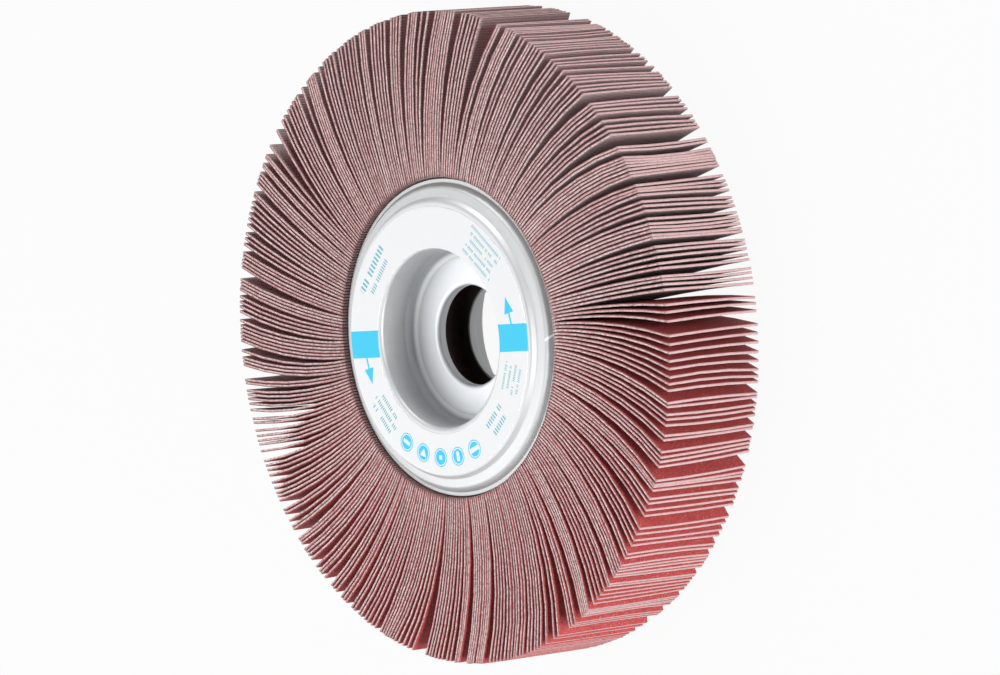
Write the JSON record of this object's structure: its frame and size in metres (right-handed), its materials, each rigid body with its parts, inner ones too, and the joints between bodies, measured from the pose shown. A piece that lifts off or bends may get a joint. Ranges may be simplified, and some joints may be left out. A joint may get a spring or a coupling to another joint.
{
  "type": "flap wheel",
  "caption": "Abrasive flap wheel: thin radial cloth leaves cast at their roots into a resin core, clamped between two pressed steel flanges with cupped recesses round a plain bore.",
  "frame": {"origin": "centre of the bore, midway between the two sides of the flaps", "axes": "+Z along the bore axis, out of the side that carries the printed ring; +X and +Y lie in the plane of the wheel, and the two plain blue fields of the ring lie 7 degrees counterclockwise of +X and -X"},
  "size_m": [0.165, 0.165, 0.0352],
  "materials": {
    "abrasive_cloth": "matt woven edges, gritty brick-red faces",
    "zinc_plated_steel": "satin zinc plate",
    "label_paper": "coated paper, printed"
  },
  "bodies": {
    "root": {"flap_core": "abrasive_cloth", "front_flange": "zinc_plated_steel", "rear_flange": "zinc_plated_steel", "front_label": "label_paper"}
  },
  "joints": []
}
